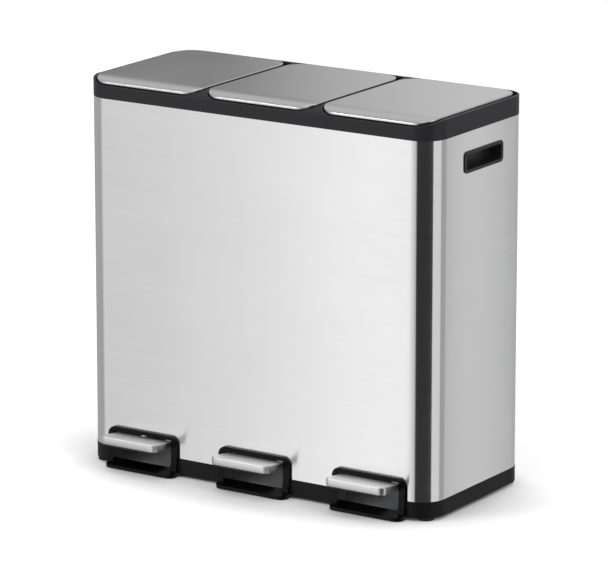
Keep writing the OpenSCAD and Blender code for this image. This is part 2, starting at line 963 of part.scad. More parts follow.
translate([0, body_y, 0]) {
    if (shown("outer_sleeve")) outer_sleeve();
    if (shown("base_ring")) base_ring();
    if (shown("deck_panel")) deck_panel();
    if (shown("rubber_feet")) rubber_feet();
    if (shown("top_collar")) top_collar();
    if (shown("carry_handle_left")) carry_handle(-1);
    if (shown("carry_handle_right")) carry_handle(1);
    if (shown("surround_screws")) surround_screws();
    if (shown("blind_rivets")) blind_rivets();
    for (i = [0:2]) {
        if (shown(str("pedal_surround_", SIDES[i]))) pedal_surround(i);
        if (shown(str("bucket_", SIDES[i]))) bucket(i);
        if (shown(str("lid_skin_", SIDES[i]))) lid_skin(i);
        if (shown(str("lid_liner_", SIDES[i]))) lid_liner(i);
        if (shown(str("lid_bumpers_", SIDES[i]))) lid_bumpers(i);
        if (shown(str("hinge_pin_", SIDES[i]))) hinge_pin(i);
        if (shown(str("pedal_cap_", SIDES[i]))) pedal_cap(i);
        if (shown(str("pedal_pad_", SIDES[i]))) pedal_pad(i);
        if (shown(str("pedal_lever_", SIDES[i]))) pedal_lever(i);
        if (shown(str("pedal_rivets_", SIDES[i]))) pedal_rivets(i);
        if (shown(str("pedal_bracket_", SIDES[i]))) pedal_bracket(i);
        if (shown(str("pedal_axle_", SIDES[i]))) pedal_axle(i);
        if (shown(str("push_rod_", SIDES[i]))) push_rod(i);
        if (shown(str("rod_tips_", SIDES[i]))) rod_tips(i);
        if (shown(str("rod_guides_", SIDES[i]))) rod_guides(i);
        if (shown(str("damper_tube_", SIDES[i]))) damper_tube(i);
        if (shown(str("damper_plunger_", SIDES[i]))) damper_plunger(i);
    }
}
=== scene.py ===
# %% [markdown]
# # A three-compartment pedal bin
#
# The bin is one tall steel sleeve on a black plastic base, with three lids in a charcoal
# collar and a foot pedal for each lid. Everything here is built round a finished CAD model,
# so the first step loads that model and asks it where its parts are. Sizes below are in
# millimetres, as on a drawing, and MM turns them into Blender's metres.

# %% Load the frame
import json
import math

import bmesh
import bpy
from mathutils import Matrix, Vector


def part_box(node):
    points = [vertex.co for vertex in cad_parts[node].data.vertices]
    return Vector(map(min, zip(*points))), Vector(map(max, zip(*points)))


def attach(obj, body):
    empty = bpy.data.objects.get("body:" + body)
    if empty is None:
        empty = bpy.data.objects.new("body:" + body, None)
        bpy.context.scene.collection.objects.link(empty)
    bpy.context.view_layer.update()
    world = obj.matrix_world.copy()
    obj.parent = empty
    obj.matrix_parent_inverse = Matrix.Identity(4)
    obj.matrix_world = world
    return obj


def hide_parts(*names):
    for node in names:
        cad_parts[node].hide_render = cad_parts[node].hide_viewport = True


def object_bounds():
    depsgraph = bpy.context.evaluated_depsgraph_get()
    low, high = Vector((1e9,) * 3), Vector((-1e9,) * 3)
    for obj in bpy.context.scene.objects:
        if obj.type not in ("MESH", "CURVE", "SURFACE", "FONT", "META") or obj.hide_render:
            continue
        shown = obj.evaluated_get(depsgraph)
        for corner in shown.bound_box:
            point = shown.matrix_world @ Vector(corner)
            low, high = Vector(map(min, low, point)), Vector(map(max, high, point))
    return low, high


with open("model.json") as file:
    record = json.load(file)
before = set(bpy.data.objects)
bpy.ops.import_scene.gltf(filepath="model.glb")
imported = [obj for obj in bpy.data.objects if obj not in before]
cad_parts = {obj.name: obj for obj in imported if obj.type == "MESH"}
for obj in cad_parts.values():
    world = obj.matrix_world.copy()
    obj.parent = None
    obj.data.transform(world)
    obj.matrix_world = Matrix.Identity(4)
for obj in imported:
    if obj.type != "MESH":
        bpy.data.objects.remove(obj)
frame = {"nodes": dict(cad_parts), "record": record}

MM = 0.001
SIDES = ("left", "middle", "right")
CAD_LOW, CAD_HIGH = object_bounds()
print("the CAD model measures", [round((b - a) / MM, 1) for a, b in zip(CAD_LOW, CAD_HIGH)], "mm")


def box_mm(node):
    """The lowest and highest corner of a CAD node, in millimetres."""
    low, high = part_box(node)
    return low / MM, high / MM


# %% [markdown]
# ## The camera
#
# A long lens from a few metres away keeps upright edges nearly parallel, as a catalogue
# picture does. The camera is placed by an azimuth, an elevation and a distance round a
# point in the middle of the body, and is then turned to face a point beside it.

# %% Camera
AZIMUTH, ELEVATION = math.radians(33.2), math.radians(14.2)
DISTANCE = 6.4
LENS = 263.1
AIM = Vector((0, 0.0215, 0.2705))
TURN_LEFT, TURN_UP = 0.0004, 0.0084

back = Vector((math.sin(AZIMUTH) * math.cos(ELEVATION),
               -math.cos(AZIMUTH) * math.cos(ELEVATION), math.sin(ELEVATION)))
camera = bpy.data.objects.new("Camera", bpy.data.cameras.new("Camera"))
bpy.context.scene.collection.objects.link(camera)
bpy.context.scene.camera = camera
camera.data.lens = LENS
camera.data.sensor_width = 36
camera.location = AIM + back * DISTANCE
right = Vector((math.cos(AZIMUTH), math.sin(AZIMUTH), 0))
look_at = AIM - right * TURN_LEFT + back.cross(right) * TURN_UP
camera.rotation_mode = "QUATERNION"
camera.rotation_quaternion = (camera.location - look_at).to_track_quat("Z", "Y")
print("camera at", [round(c, 3) for c in camera.location])

# %% [markdown]
# ## A helper for node trees
#
# Materials, the world and Geometry Nodes are all trees of nodes. One small function adds a
# node, sets its options, and either fills each input with a value or links it.

# %% Node helper
def put(tree, kind, inputs=None, **options):
    made = tree.nodes.new(kind)
    for name, value in options.items():
        setattr(made, name, value)
    for name, value in (inputs or {}).items():
        if isinstance(value, bpy.types.NodeSocket):
            tree.links.new(value, made.inputs[name])
        else:
            made.inputs[name].default_value = value
    return made


# %% [markdown]
# ## Studio
#
# Brushed steel shows its surroundings more than itself, so a photographer builds those first:
# a white floor, pale walls, and soft panels overhead. The world below is such a room: bright
# about half way up and straight above, with calmer bands between, and a touch darker behind
# the bin on its left. The camera itself sees plain white beyond the floor.

# %% World
world = bpy.data.worlds.new("Studio")
bpy.context.scene.world = world
world.use_nodes = True
tree = world.node_tree
tree.nodes.clear()
towards = put(tree, "ShaderNodeTexCoord").outputs["Generated"]
parts = put(tree, "ShaderNodeSeparateXYZ", {0: towards})
room = put(tree, "ShaderNodeValToRGB", {0: parts.outputs["Z"]})
WALL_LIGHT = ((0.0, 0.36), (0.24, 0.42), (0.40, 0.60), (0.52, 1.15), (0.66, 1.0), (0.78, 0.42),
              (0.88, 0.7), (0.97, 2.4))
BRIGHTEST = 3
BEHIND_FROM, BEHIND_TO = math.radians(112), math.radians(127)
ramp = room.color_ramp
ramp.interpolation = "EASE"
while len(ramp.elements) < len(WALL_LIGHT):
    ramp.elements.new(0.5)
for element, (height, light) in zip(ramp.elements, WALL_LIGHT):
    element.position = height
    element.color = (light / BRIGHTEST,) * 3 + (1,)
angle = put(tree, "ShaderNodeMath", {0: parts.outputs["Y"], 1: parts.outputs["X"]},
            operation="ARCTAN2")
behind = put(tree, "ShaderNodeMapRange", {0: angle.outputs[0], 1: BEHIND_FROM, 2: BEHIND_TO,
                                          3: 2.3, 4: 2.0})
behind.interpolation_type = "SMOOTHSTEP"
lit = put(tree, "ShaderNodeBackground", {"Color": room.outputs[0], "Strength": behind.outputs[0]})
white = put(tree, "ShaderNodeBackground", {"Color": (1, 1, 1, 1), "Strength": 1.0})
seen = put(tree, "ShaderNodeLightPath").outputs["Is Camera Ray"]
mixed = put(tree, "ShaderNodeMixShader", {0: seen, 1: lit.outputs[0], 2: white.outputs[0]})
put(tree, "ShaderNodeOutputWorld", {0: mixed.outputs[0]})
bpy.context.scene.view_settings.view_transform = "Standard"

# %% [markdown]
# The floor is plain and pale. It glows faintly beyond the bin, so that it stays white, and
# the glow fades out over an oval round the bin: painted shade under it. Round the bin stand
# upright cards that only
# reflections can see: a pale one in front that fades to the left, a black one that draws
# the dark stripe down the front corner, a white one beside it, a grey one that calms the
# side, and a graded one behind that shades the lids. They light nothing, cast no shadow and
# are never seen. They reach below the floor, which reflections look through, so that the
# steel keeps one tone from top to bottom.

# %% Floor and cards
def flat_panel(name, corners, colour):
    """A matt four-cornered stage panel."""
    mesh = bpy.data.meshes.new(name)
    mesh.from_pydata(corners, [], [(0, 1, 2, 3)])
    panel = bpy.data.objects.new(name, mesh)
    bpy.context.scene.collection.objects.link(panel)
    material = bpy.data.materials.new(name)
    material.use_nodes = True
    shader = material.node_tree.nodes["Principled BSDF"]
    shader.inputs["Base Color"].default_value = (*colour, 1)
    shader.inputs["Roughness"].default_value = 0.9
    shader.inputs["Specular IOR Level"].default_value = 0.0
    shader.inputs["Emission Color"].default_value = (1, 1, 1, 1)
    mesh.materials.append(material)
    return panel


FLOOR_REACH, FLOOR_WHITE, FLOOR_GLOW = 20, 0.93, 0.3
# Half-widths of the oval round the bin where the floor's glow is left out, a painted shade.
PAINTED_SHADE_OVAL = (0.30, 0.17)
floor = flat_panel("Floor", [(x * FLOOR_REACH, y * FLOOR_REACH, 0) for x, y in
                             ((-1, -1), (1, -1), (1, 1), (-1, 1))], (FLOOR_WHITE,) * 3)
floor.visible_glossy = False
tree = floor.data.materials[0].node_tree
place = put(tree, "ShaderNodeTexCoord").outputs["Object"]
# Painted shade: the floor's glow fades to none over an oval round the bin.
oval = put(tree, "ShaderNodeMapping", {"Vector": place,
                                       "Scale": (1 / PAINTED_SHADE_OVAL[0], 1 / PAINTED_SHADE_OVAL[1], 1)})
reach = put(tree, "ShaderNodeVectorMath", {0: oval.outputs[0]}, operation="LENGTH")
glow_beyond_painted_shade = put(tree, "ShaderNodeMapRange", {0: reach.outputs["Value"], 1: 1.0, 2: 1.4,
                                                3: 0.0, 4: FLOOR_GLOW})
tree.links.new(glow_beyond_painted_shade.outputs[0],
               tree.nodes["Principled BSDF"].inputs["Emission Strength"])


CARD_STRENGTH = 2.0


def reflection_card(name, start, end, glows, foot=-1.2, top=1.6):
    """An upright card from one floor point to another. glows are (x, brightness) along it."""
    corners = [(*start, foot), (*end, foot), (*end, top), (*start, top)]
    card = flat_panel(name, corners, (0, 0, 0))
    tree = card.data.materials[0].node_tree
    place = put(tree, "ShaderNodeTexCoord").outputs["Object"]
    x = put(tree, "ShaderNodeSeparateXYZ", {0: place}).outputs["X"]
    low, high = glows[0][0], glows[-1][0]
    along = put(tree, "ShaderNodeMapRange", {0: x, 1: low, 2: high})
    blend = put(tree, "ShaderNodeValToRGB", {0: along.outputs[0]})
    stops = blend.color_ramp.elements
    while len(stops) < len(glows):
        stops.new(0.5)
    for stop, (at, glow) in zip(stops, glows):
        stop.position = (at - low) / (high - low)
        stop.color = (glow / CARD_STRENGTH,) * 3 + (1,)
    shader = tree.nodes["Principled BSDF"]
    tree.links.new(blend.outputs[0], shader.inputs["Emission Color"])
    shader.inputs["Emission Strength"].default_value = CARD_STRENGTH
    card.visible_camera = card.visible_diffuse = card.visible_shadow = False
    return card


CORNER_MIDDLE = (-0.037, -0.221)
NEAR = 0.16


def round_corner(azimuth, reach=1.0):
    """A floor point at an azimuth from the middle of the body's front right corner."""
    turn = math.radians(azimuth)
    return (CAD_HIGH.x + CORNER_MIDDLE[0] + reach * math.cos(turn),
            CAD_HIGH.y + CORNER_MIDDLE[1] + reach * math.sin(turn))


reflection_card("Left_card", (-2.2, 1.2), (-2.2, -1.2), [(-2.2, 0.42), (-2.19, 0.42)])
reflection_card("Front_card", (-2.2, -1.2), (0.36, -1.2),
                [(-2.2, 0.46), (-1.8, 0.62), (-1.4, 0.78), (-1.05, 0.71), (-0.95, 0.75),
                 (-0.68, 0.92), (-0.5, 1.08), (-0.42, 1.05), (-0.34, 0.95), (-0.2, 0.86),
                 (0.0, 0.72), (0.36, 0.35)])
reflection_card("Black_card", round_corner(-88, NEAR), round_corner(-22, NEAR),
                [(0, 0.032), (1, 0.032)])
reflection_card("White_card", round_corner(-22, NEAR), round_corner(15, NEAR),
                [(0, 0.74), (1, 0.74)])
reflection_card("Grey_card", round_corner(15), round_corner(112),
                [(-0.12, 0.42), (0.53, 0.50), (0.565, 0.64), (0.60, 0.70), (0.632, 0.64),
                 (0.656, 0.42), (1.25, 0.38)])
reflection_card("Back_card", (-2.0, 1.5), (0.6, 1.5),
                [(-2.0, 0.20), (-1.15, 0.26), (-0.9, 0.54), (-0.65, 0.7), (0.6, 0.8)])

# %% [markdown]
# Two soft lamps light what is matt: a key from the front left and a weaker fill at the right.

# %% Lamps
def soft_lamp(name, place, size, watts):
    lamp = bpy.data.lights.new(name, "AREA")
    lamp.size, lamp.energy = size, watts
    made = bpy.data.objects.new(name, lamp)
    bpy.context.scene.collection.objects.link(made)
    made.location = place
    made.rotation_mode = "QUATERNION"
    made.rotation_quaternion = (Vector(place) - AIM).to_track_quat("Z", "Y")
    return made


soft_lamp("Key", (-2.2, -3.0, 3.0), 1.6, 50)
soft_lamp("Fill", (3.0, -0.6, 2.4), 1.2, 22)
print("the studio has", len(bpy.data.lights), "lamps and six cards")

# %% [markdown]
# ## Finishes
#
# Every finish starts from Blender's Principled shader. Its uniform numbers go straight on
# the shader, and only what varies over the surface is linked: colour, roughness and bump.
# Patterns are laid out in object coordinates, so they hold still when a lid or pedal moves.

# %% Finish helpers
FINISH = {}


def new_finish(slot, colour, roughness, metal=0.0):
    """A material for one slot of the record, and what its nodes hang on."""
    material = bpy.data.materials.new(slot)
    material.use_nodes = True
    tree = material.node_tree
    shader = tree.nodes["Principled BSDF"]
    shader.inputs["Base Color"].default_value = (*colour, 1)
    shader.inputs["Roughness"].default_value = roughness
    shader.inputs["Metallic"].default_value = metal
    FINISH[slot] = material
    return tree, shader


def noise(tree, period, detail=2.0, stretch=(1, 1, 1)):
    """Noise from 0 to 1 whose features are about one period apart, in millimetres."""
    place = put(tree, "ShaderNodeTexCoord").outputs["Object"]
    scale = [1 / (period * MM * s) for s in stretch]
    mapped = put(tree, "ShaderNodeMapping", {"Vector": place, "Scale": scale})
    return put(tree, "ShaderNodeTexNoise", {"Vector": mapped.outputs[0], "Scale": 1.0,
                                            "Detail": detail}).outputs["Fac"]


def between(tree, value, low, high, from_low=0.3, from_high=0.7):
    """Maps a pattern onto a range."""
    return put(tree, "ShaderNodeMapRange", {0: value, 1: from_low, 2: from_high,
                                            3: low, 4: high}).outputs[0]


def added(tree, a, b, how="ADD"):
    return put(tree, "ShaderNodeMath", {0: a, 1: b}, operation=how).outputs[0]


def tinted(tree, shader, colour, shade):
    """Multiplies the base colour by a pattern."""
    mixed = put(tree, "ShaderNodeVectorMath", {0: (*colour,)}, operation="SCALE")
    tree.links.new(shade, mixed.inputs["Scale"])
    tree.links.new(mixed.outputs[0], shader.inputs["Base Color"])


def bumped(tree, shader, height, depth, strength=0.5):
    """Bump whose height runs from 0 to a depth in millimetres."""
    bump = put(tree, "ShaderNodeBump", {"Height": height, "Distance": depth * MM,
                                        "Strength": strength})
    tree.links.new(bump.outputs[0], shader.inputs["Normal"])


def edge_wear(tree, gain):
    """1 on flat faces, and more along edges that hands and shoes have rubbed."""
    sharp = put(tree, "ShaderNodeNewGeometry").outputs["Pointiness"]
    return between(tree, sharp, 1.0, gain, 0.52, 0.62)


# %% [markdown]
# ### Brushed steel
#
# Stainless sheet is brushed with a belt that leaves fine parallel scratches. Up close they
# are tiny grooves, further off faint streaks. Three layers of noise make the hairlines, the
# broader streaks, both stretched along the grain, and the cloudy patches that cleaning
# leaves. Scratches also smear every reflection across the grain, which is the way the
# anisotropic setting is turned. The sleeve's grain runs level all the way round, so its
# scratches change only with height.

# %% Brushed steel
def brushed_steel(slot, colour, roughness, along, grain_turn, smear):
    """along is how far the scratches stretch in X, Y and Z, against their spacing. The
    grain turns round the axis grain_turn, or follows the UV map if there is none."""
    tree, shader = new_finish(slot, colour, roughness, 1.0)
    shader.inputs["Anisotropic"].default_value = smear
    shader.inputs["Anisotropic Rotation"].default_value = 0.25
    hair = noise(tree, 0.35, 3.0, along)
    streak = noise(tree, 2.6, 2.0, along)
    cloud = noise(tree, 140, 2.0)
    shade = added(tree, between(tree, hair, -0.02, 0.02), between(tree, streak, 0.985, 1.01))
    tinted(tree, shader, colour, added(tree, shade, between(tree, cloud, -0.012, 0.012)))
    rough = added(tree, between(tree, streak, roughness - 0.02, roughness + 0.02),
                  between(tree, cloud, -0.02, 0.02))
    tree.links.new(rough, shader.inputs["Roughness"])
    bumped(tree, shader, added(tree, hair, streak), 0.006, 0.14)
    if grain_turn is not None:
        turn = put(tree, "ShaderNodeTangent", direction_type="RADIAL", axis=grain_turn)
    else:
        turn = put(tree, "ShaderNodeTangent", direction_type="UV_MAP", uv_map="grain")
    tree.links.new(turn.outputs[0], shader.inputs["Tangent"])


brushed_steel("sleeve_steel", (0.80, 0.80, 0.805), 0.18, (300, 300, 1), "Z", 0.9)
brushed_steel("lid_steel", (0.66, 0.655, 0.66), 0.22, (300, 1, 1), None, 0.7)
brushed_steel("pedal_steel", (0.74, 0.73, 0.735), 0.38, (200, 1, 1), None, 0.6)

# %% [markdown]
# ### Moulded plastic
#
# Most plastic parts come out of a mould whose face was etched, which leaves a fine leathery
# texture that scatters light. The collar is charcoal, the base and the inner parts are near
# black, and the buckets are dark grey. Edges are rubbed a little paler than flat faces. The
# pedal surrounds come from a polished mould, so they are glossy, with a few faint scuffs.

# %% Plastic
def moulded_plastic(slot, colour, roughness, texture, depth, wear=1.35, shine=0.3):
    tree, shader = new_finish(slot, colour, roughness)
    shader.inputs["Specular IOR Level"].default_value = shine
    grain = noise(tree, texture, 3.0)
    cloud = noise(tree, 60, 2.0)
    shade = added(tree, between(tree, grain, -0.06, 0.06), between(tree, cloud, 0.95, 1.05))
    tinted(tree, shader, colour, added(tree, shade, edge_wear(tree, wear), "MULTIPLY"))
    rough = added(tree, between(tree, grain, roughness - 0.05, roughness + 0.05),
                  between(tree, cloud, -0.03, 0.03))
    tree.links.new(rough, shader.inputs["Roughness"])
    bumped(tree, shader, grain, depth, 0.4)


moulded_plastic("collar_plastic", (0.017, 0.017, 0.020), 0.42, 0.9, 0.03, shine=0.22)
moulded_plastic("base_plastic", (0.007, 0.007, 0.008), 0.45, 0.9, 0.03, shine=0.14)
moulded_plastic("handle_plastic", (0.014, 0.014, 0.015), 0.36, 0.8, 0.02)
moulded_plastic("liner_plastic", (0.022, 0.022, 0.023), 0.5, 0.8, 0.03, 1.2)
moulded_plastic("bucket_plastic", (0.085, 0.085, 0.090), 0.5, 1.1, 0.04)
moulded_plastic("gloss_plastic", (0.003, 0.003, 0.0035), 0.16, 9.0, 0.02, 1.6, shine=0.12)

# %% [markdown]
# ### Mechanism metals, nylon and rubber
#
# The levers, pins and rods are zinc plated. Plating grows in small crystals, so a cell
# pattern gives each patch its own tint and roughness. The damper tubes are ground steel,
# the rod ends natural nylon, and the feet rubber that is dull and slightly dusty.

# %% Mechanism finishes
tree, shader = new_finish("zinc_steel", (0.62, 0.63, 0.65), 0.38, 1.0)
spangle = put(tree, "ShaderNodeTexVoronoi", {
    "Vector": put(tree, "ShaderNodeTexCoord").outputs["Object"], "Scale": 420.0})
spangle_grey = put(tree, "ShaderNodeSeparateColor", {0: spangle.outputs["Color"]}).outputs[0]
tinted(tree, shader, (0.62, 0.63, 0.65),
       added(tree, between(tree, spangle_grey, 0.93, 1.05, 0, 1), edge_wear(tree, 1.2), "MULTIPLY"))
tree.links.new(between(tree, spangle_grey, 0.32, 0.46, 0, 1), shader.inputs["Roughness"])
bumped(tree, shader, noise(tree, 1.2, 3.0), 0.015, 0.4)

brushed_steel("damper_steel", (0.50, 0.50, 0.52), 0.3, (60, 60, 1), "Z", 0.3)
moulded_plastic("rod_nylon", (0.62, 0.61, 0.57), 0.42, 0.7, 0.02, 1.1)
moulded_plastic("rubber", (0.013, 0.013, 0.013), 0.75, 0.6, 0.05, 1.8)
print("finishes:", ", ".join(sorted(FINISH)))

# %% [markdown]
# ## Making pieces from the frame
#
# The CAD parts have razor edges, and real ones never do: moulded edges are rounded and
# sheet edges are deburred. A rounded edge also catches the light, which is half of what
# makes a picture look real. This step copies a CAD part, merges its loose triangles, joins
# flat areas into single faces, and gives its long sharp edges a small bevel. A weighted
# normal keeps the flat areas looking flat. A bevel that is wider than its surroundings would
# fold over itself, so narrow places get a narrower one. The CAD part is never touched.

# %% Softened copies
ROOM_SHARE, EVENING_PASSES, EVENING_STEP = 0.2, 3, 1.5
BODY_OF = {node: body for body, nodes in frame["record"]["behaviour"]["bodies"].items()
           for node in nodes}
SLOT_OF = {"outer_sleeve": "sleeve_steel", "lid_skin": "lid_steel", "pedal_cap": "pedal_steel",
           "base_ring": "base_plastic", "top_collar": "collar_plastic",
           "carry_handle": "handle_plastic", "pedal_surround": "gloss_plastic",
           "deck_panel": "liner_plastic", "lid_liner": "liner_plastic",
           "pedal_pad": "liner_plastic", "bucket": "bucket_plastic", "rod_guides": "rod_nylon",
           "rod_tips": "rod_nylon", "damper_tube": "damper_steel",
           "damper_plunger": "damper_steel", "rubber_feet": "rubber", "lid_bumpers": "rubber"}


def slot_for(node):
    """The finish of a CAD node, by the first name in the table that it starts with."""
    return next((s for n, s in SLOT_OF.items() if node.startswith(n)), "zinc_steel")


def new_piece(name, mesh, slot, body, *stands_for):
    """Links a finished mesh, gives it its finish, and ties it to its body."""
    piece = bpy.data.objects.new(name, mesh)
    bpy.context.scene.collection.objects.link(piece)
    mesh.materials.clear()
    mesh.materials.append(FINISH[slot])
    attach(piece, body)
    if stands_for:
        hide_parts(*stands_for)
    return piece


def shade_by_angle(mesh, angle=32):
    for face in mesh.polygons:
        face.use_smooth = True
    mesh.set_sharp_from_angle(angle=math.radians(angle))


def round_edges(piece, width, segments=2):
    """Bevels the edges marked with a bevel weight, and evens out the shading."""
    bevel = piece.modifiers.new("Rounded edges", "BEVEL")
    bevel.limit_method = "WEIGHT"
    bevel.width, bevel.segments = width * MM, segments
    bevel.use_clamp_overlap = False
    even = piece.modifiers.new("Even shading", "WEIGHTED_NORMAL")
    even.keep_sharp = True


def narrowness(face):
    """About how wide a face is, in mm: a long strip's width, or half a square's side."""
    return 2 * face.calc_area() / face.calc_perimeter() / MM


def clean_copy(node, width, sharp_angle=35):
    """A merged copy of a node's mesh, its sharp edges marked for the bevel. An edge gets
    the full width only where the faces beside it have room, and where the edges it meets
    are not much narrower. Big flat faces are cut into triangles, which cannot fold over."""
    source = frame["nodes"][node].data
    work = bmesh.new()
    points = [work.verts.new(v.co) for v in source.vertices]
    for face in source.polygons:
        work.faces.new([points[i] for i in face.vertices])
    bmesh.ops.remove_doubles(work, verts=work.verts, dist=0.002 * MM)
    bmesh.ops.dissolve_limit(work, angle_limit=math.radians(0.6), verts=work.verts,
                             edges=work.edges)
    weight = work.edges.layers.float.new("bevel_weight_edge")
    share = {}
    for edge in work.edges:
        if edge.calc_face_angle(0.0) > math.radians(sharp_angle):
            room = ROOM_SHARE * min(narrowness(face) for face in edge.link_faces)
            share[edge] = min(1.0, room / width)
    for _ in range(EVENING_PASSES):
        share = {edge: min([value] + [share[other] * EVENING_STEP for corner in edge.verts
                                      for other in corner.link_edges if other in share])
                 for edge, value in share.items()}
    for edge, value in share.items():
        edge[weight] = value
    bmesh.ops.triangulate(work, faces=[f for f in work.faces if len(f.verts) > 4],
                          ngon_method="EAR_CLIP")
    mesh = bpy.data.meshes.new(node)
    work.to_mesh(mesh)
    work.free()
    shade_by_angle(mesh)
    return mesh, len(share)


def softened(node, width, segments=2):
    mesh, marked = clean_copy(node, width)
    piece = new_piece(node + "_soft", mesh, slot_for(node), BODY_OF[node], node)
    round_edges(piece, width, segments)
    print(f"{piece.name}: {len(mesh.polygons)} faces, {marked} edges rounded to {width} mm")
    return piece


# %% [markdown]
# ### Body
#
# The sleeve is 0.8 mm sheet wrapped round the plan and welded at the back. The base ring and
# collar are moulded, and stand half a millimetre proud of the sheet, so a fine line runs
# round each joint. Carry handles and pedal surrounds get larger radii, because hands and
# shoes touch them.

# %% Body
softened("outer_sleeve", 0.18)
softened("base_ring", 0.7)
softened("top_collar", 0.8, 3)
softened("deck_panel", 0.5)
for side in ("left", "right"):
    softened("carry_handle_" + side, 0.7, 3)
for side in SIDES:
    softened("pedal_surround_" + side, 1.5, 4)

# %% [markdown]
# ## Lids and pedal caps
#
# Both are pressed from sheet: a flat or gently bent face, a rounded edge, and a short wall
# turned down all round. Such a tray is easiest to build as a stack of closed outlines, one
# inside the other, that climb out of the hollow underside, round the rim and over the face
# to the middle. Joining neighbours makes clean four-sided faces and one closed solid.

# %% Outlines and pressed trays
def plan_outline(low, high, radii, inset, side_steps=24, corner_steps=10):
    """Points anticlockwise round a box with rounded corners, drawn in by an inset, in mm.
    radii are those of the two front and the two back corners."""
    (x0, y0), (x1, y1) = (low[0] + inset, low[1] + inset), (high[0] - inset, high[1] - inset)
    front, rear = (max(r - inset, 0.15) for r in radii)
    corners = [(x0 + front, y0 + front, front, 180), (x1 - front, y0 + front, front, 270),
               (x1 - rear, y1 - rear, rear, 0), (x0 + rear, y1 - rear, rear, 90)]
    arcs = [[(cx + r * math.cos(math.radians(start + 90 * i / corner_steps)),
              cy + r * math.sin(math.radians(start + 90 * i / corner_steps)))
             for i in range(corner_steps + 1)] for cx, cy, r, start in corners]
    points = []
    for arc, following in zip(arcs, arcs[1:] + arcs[:1]):
        (ax, ay), (bx, by) = arc[-1], following[0]
        points += arc + [(ax + (bx - ax) * i / side_steps, ay + (by - ay) * i / side_steps)
                         for i in range(1, side_steps)]
    return points


def stacked(name, rings):
    """A closed mesh through rings of points in mm, capped at both ends, facing outwards."""
    work = bmesh.new()
    loops = [[work.verts.new(Vector(p) * MM) for p in ring] for ring in rings]
    count = len(loops[0])
    for lower, upper in zip(loops, loops[1:]):
        for i in range(count):
            work.faces.new([lower[i], lower[(i + 1) % count],
                            upper[(i + 1) % count], upper[i]])
    work.faces.new(loops[0])
    work.faces.new(loops[-1])
    bmesh.ops.remove_doubles(work, verts=work.verts, dist=0.001 * MM)
    bmesh.ops.recalc_face_normals(work, faces=work.faces)
    mesh = bpy.data.meshes.new(name)
    work.to_mesh(mesh)
    work.free()
    return mesh


def pressed_tray(name, low, high, radii, face, depth, sheet, edge, insets, **steps):
    """face(y) is the height of the tray's face; the wall hangs down by depth from it."""
    turn = [math.radians(a) for a in (0, 15, 30, 45, 60, 75, 90)]
    inner = max(edge - sheet, 0.25)
    lip = 0.3 * sheet
    profile = [(i, sheet) for i in reversed(insets)]
    profile += [(sheet + inner * (1 - math.sin(a)), sheet + inner * (1 - math.cos(a)))
                for a in turn]
    profile += [(sheet, depth - lip), (sheet - lip, depth), (lip, depth), (0, depth - lip)]
    profile += [(edge * (1 - math.sin(a)), edge * (1 - math.cos(a))) for a in reversed(turn)]
    profile += [(i, 0) for i in insets]
    rings = [[(x, y, face(y) - drop) for x, y in plan_outline(low, high, radii, inset, **steps)]
             for inset, drop in profile]
    return stacked(name, rings)


def lay_grain(mesh):
    """A UV map in metres whose U runs along X, so that brushing follows each face."""
    layer = mesh.uv_layers.new(name="grain")
    for face in mesh.polygons:
        across = abs(face.normal.x) > 0.8
        for corner in face.loop_indices:
            x, y, z = mesh.vertices[mesh.loops[corner].vertex_index].co
            layer.data[corner].uv = (y, z) if across else (x, y - z)


# %% [markdown]
# ### Lid skins
#
# A lid is level for most of its depth and bends down towards the front, where a hand meets
# it. The drop follows one arc that starts level.

# %% Lid skins
LID_BEND, LID_DROP, LID_CORNER = 33.0, 5.8, 29.0
LID_INSETS = (2.5, 4, 6, 9, 13, 18, 24, 31, 40, 52, 66, 80, 88)


def arc_drop(reach, length, drop):
    """How far an arc has fallen, reach along from where it was level."""
    radius = (length * length + drop * drop) / (2 * drop)
    reach = min(max(reach, 0.0), length)
    return radius - math.sqrt(radius * radius - reach * reach)


for side in SIDES:
    low, high = box_mm("lid_skin_" + side)
    mesh = pressed_tray(
        "lid_skin_" + side, low, high, (LID_CORNER, LID_CORNER),
        lambda y: high.z - arc_drop(low.y + LID_BEND - y, LID_BEND, LID_DROP),
        depth=3.0, sheet=0.8, edge=1.3, insets=LID_INSETS, side_steps=40, corner_steps=12)
    shade_by_angle(mesh, 50)
    lay_grain(mesh)
    piece = new_piece("lid_sheet_" + side, mesh, "lid_steel", "lid_" + side, "lid_skin_" + side)
    print(piece.name, "has", len(mesh.polygons), "faces")

# %% [markdown]
# ### Pedal caps
#
# The same tray, thicker and deeper. Its face climbs towards the toe, and only its two front
# corners are rounded, since its back edge is hidden in the surround.

# %% Pedal caps
PEDAL_RISE, PEDAL_RUN = 5.0, 43.0
PEDAL_INSETS = (2.6, 3.6, 5, 7, 9.5, 13, 17, 20.5)

for side in SIDES:
    low, high = box_mm("pedal_cap_" + side)
    mesh = pressed_tray(
        "pedal_cap_" + side, low, high, (9.0, 1.4),
        lambda y: high.z - PEDAL_RISE * (y - low.y) / PEDAL_RUN,
        depth=11.5, sheet=1.2, edge=2.0, insets=PEDAL_INSETS)
    shade_by_angle(mesh, 50)
    lay_grain(mesh)
    piece = new_piece("pedal_tread_" + side, mesh, "pedal_steel", "pedal_" + side,
                      "pedal_cap_" + side)
    print(piece.name, "has", len(mesh.polygons), "faces")

# %% [markdown]
# ## Buckets
#
# A bucket is blown or moulded in one wall thickness, with draft so that it leaves the mould,
# round bottom edges so that it wipes clean, and a flat rim. The same stack of outlines makes
# it: up the outside, round the rim, and down the inside. A boolean then cuts the two hand
# holes, as a punch would, and its result is kept as plain mesh.

# %% Buckets
WALL, FILLET, BUCKET_CORNER, RIM = 1.8, 6.0, 22.0, 6.0
GRIP_WIDTH, GRIP_HEIGHT, GRIP_DROP = 84.0, 22.0, 30.0


